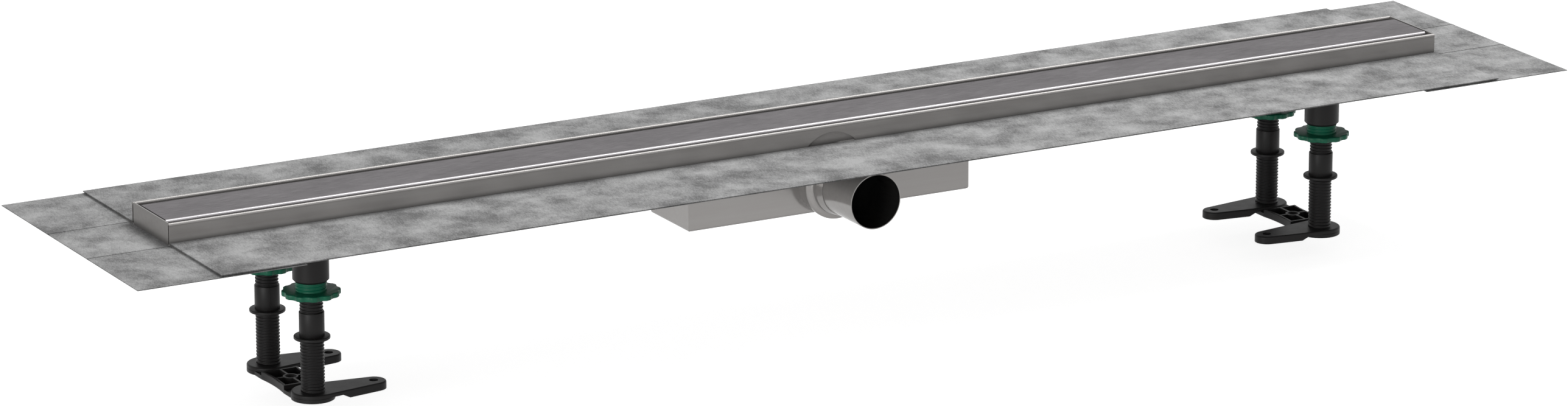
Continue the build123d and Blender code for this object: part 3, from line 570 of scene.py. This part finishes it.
def side_fleece(face):
    """Fleece strip along one side of the channel."""
    node = f"membrane_{face}"
    low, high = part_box(node)
    sheet = fleece_grid(low, high, [])
    apply_modifier(sheet, "SOLIDIFY", thickness=high.z - low.z, offset=-1)
    apply_modifier(sheet, "BEVEL", width=FLEECE_EDGE * MM, segments=2, limit_method="ANGLE")
    finish_fleece(sheet, f"fleece_{face}", node, (high.y - low.y, high.x - low.x), f"rail_{face}")


def end_fleece(end):
    """Fleece sheet past one end, notched round the channel, with its two pressed creases."""
    node = f"end_sheet_{end}"
    low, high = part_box(node)
    plate_low, plate_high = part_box(f"end_plate_{end}")
    outward = -1 if end == "left" else 1
    notch_x = (plate_low.x if end == "left" else plate_high.x) + outward * CLEARANCE * MM
    notch_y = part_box("membrane_back")[0].y
    crease_in = notch_y
    crease_out = notch_y + CREASE_WIDTH * MM
    cuts = [((notch_x, 0, 0), (1, 0, 0))]
    cuts += [((0, side * y, 0), (0, 1, 0)) for y in (crease_in, crease_out) for side in (-1, 1)]
    sheet = fleece_grid(low, high, cuts)
    select_in_mesh(sheet, "polygons", lambda face: abs(face.center.y) < notch_y
                   and outward * (face.center.x - notch_x) < 0)
    bpy.ops.mesh.delete(type="FACE")
    bpy.ops.object.mode_set(mode="OBJECT")
    apply_modifier(sheet, "SOLIDIFY", thickness=high.z - low.z, offset=-1)
    select_in_mesh(sheet, "polygons", lambda face: face.normal.z > 0.9
                   and crease_in < abs(face.center.y) < crease_out and outward * (face.center.x - notch_x) > 0)
    bpy.ops.mesh.extrude_region_move(TRANSFORM_OT_translate={"value": (0, 0, -CREASE_DEPTH * MM)})
    bpy.ops.mesh.select_all(action="SELECT")
    bpy.ops.mesh.normals_make_consistent(inside=False)
    bpy.ops.object.mode_set(mode="OBJECT")
    width, length = high.y - low.y, high.x - low.x
    inner_x = high.x if end == "left" else low.x
    area = width * length - 2 * notch_y * abs(notch_x - inner_x)
    finish_fleece(sheet, f"fleece_end_{end}", node, (width, length), f"end_angle_{end}", area=area)


def paint_nodes():
    """Finish of every CAD node, from its material slot."""
    for row in frame["record"]["subparts"]:
        paint(frame["nodes"][row["node"]], row["material_slot"])


def seen_directly(tree):
    """1 for camera, glossy and transmission rays, and 0 for the rays that light things."""
    rays = add(tree, "ShaderNodeLightPath", {}).outputs
    seen = add(tree, "ShaderNodeMath", {0: rays["Is Camera Ray"], 1: rays["Is Glossy Ray"]}, operation="MAXIMUM")
    return add(tree, "ShaderNodeMath", {0: seen.outputs[0], 1: rays["Is Transmission Ray"]},
               operation="MAXIMUM").outputs[0]


def studio_floor():
    """Pale floor that shows white and keeps the object's shadow, under the feet at their lowest."""
    bpy.ops.object.select_all(action="DESELECT")
    bpy.ops.mesh.primitive_plane_add(size=FLOOR_SIZE, location=(0, 0, -FLOOR_DROP * MM))
    floor = bpy.context.object
    floor.name = "floor"
    material, tree, shader, _ = new_material("matt_white_floor", Base_Color=srgb("#C8C8C8"), Roughness=0.9,
                                             Specular_IOR_Level=0.1, Emission_Color=(1, 1, 1, 1))
    glow = add(tree, "ShaderNodeMath", {0: seen_directly(tree), 1: FLOOR_GLOW}, operation="MULTIPLY")
    tree.links.new(glow.outputs[0], shader.inputs["Emission Strength"])
    floor.data.materials.append(material)


def studio_world():
    """White surroundings: plain white to the eye and in reflections, softer as light."""
    world = bpy.data.worlds.new("studio")
    bpy.context.scene.world = world
    world.use_nodes = True
    tree = world.node_tree
    tree.nodes.clear()
    light = add(tree, "ShaderNodeBackground", {"Color": (1, 1, 1, 1), "Strength": WORLD_LIGHT})
    white = add(tree, "ShaderNodeBackground", {"Color": (1, 1, 1, 1), "Strength": 1.0})
    mixed = add(tree, "ShaderNodeMixShader", {0: seen_directly(tree), 1: light.outputs[0], 2: white.outputs[0]})
    add(tree, "ShaderNodeOutputWorld", {"Surface": mixed.outputs[0]})


def softboxes():
    """Large soft lamps, each aimed at the middle of the object."""
    for name, place, size, power in SOFTBOXES:
        lamp = bpy.data.lights.new(name, "AREA")
        lamp.shape = "RECTANGLE"
        lamp.size, lamp.size_y = size
        lamp.energy = power
        holder = bpy.data.objects.new(name, lamp)
        bpy.context.scene.collection.objects.link(holder)
        holder.location = place
        holder.rotation_euler = (-holder.location).to_track_quat("-Z", "Y").to_euler()


def photo_camera():
    """Camera at the photograph's viewing angle."""
    data = bpy.data.cameras.new("photo_camera")
    data.lens = CAMERA_LENS
    data.sensor_width = 36
    data.sensor_fit = "HORIZONTAL"
    data.clip_end = 100
    camera = bpy.data.objects.new("photo_camera", data)
    bpy.context.scene.collection.objects.link(camera)
    camera.location = in_metres(CAMERA_PLACE)
    camera.rotation_euler = (math.radians(90 - CAMERA_PITCH), 0, math.radians(-CAMERA_YAW))
    bpy.context.scene.camera = camera


paint_nodes()
legs()
for face in FACES:
    side_fleece(face)
for end in ENDS:
    end_fleece(end)
studio_floor()
studio_world()
softboxes()
photo_camera()
bpy.context.scene.view_settings.view_transform = "Standard"
